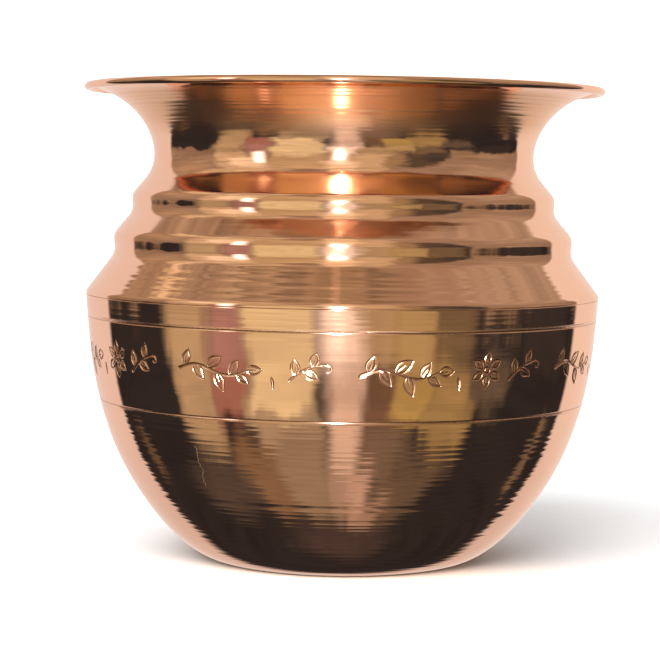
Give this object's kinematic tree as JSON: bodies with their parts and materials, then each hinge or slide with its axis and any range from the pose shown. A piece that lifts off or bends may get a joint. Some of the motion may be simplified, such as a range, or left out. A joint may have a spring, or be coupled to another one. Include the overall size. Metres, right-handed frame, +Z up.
{
  "type": "kalash pot",
  "caption": "Small spun copper kalash water pot with a rounded belly, engraved band, ribbed neck, flared mouth and rolled rim.",
  "frame": {"origin": "centre of the flat base, on the surface the pot stands on", "axes": "+Z up along the pot's turning axis; +X and +Y are alike, since the pot is round"},
  "size_m": [0.095, 0.095, 0.0866],
  "materials": {
    "bowl_copper": "polished copper with fine turning marks and an engraved band",
    "neck_copper": "polished copper with fine turning marks",
    "brazing_alloy": "dull run of brazing alloy"
  },
  "bodies": {
    "root": {"lower_bowl": "bowl_copper", "upper_neck": "neck_copper", "braze_ring": "brazing_alloy"}
  },
  "joints": []
}
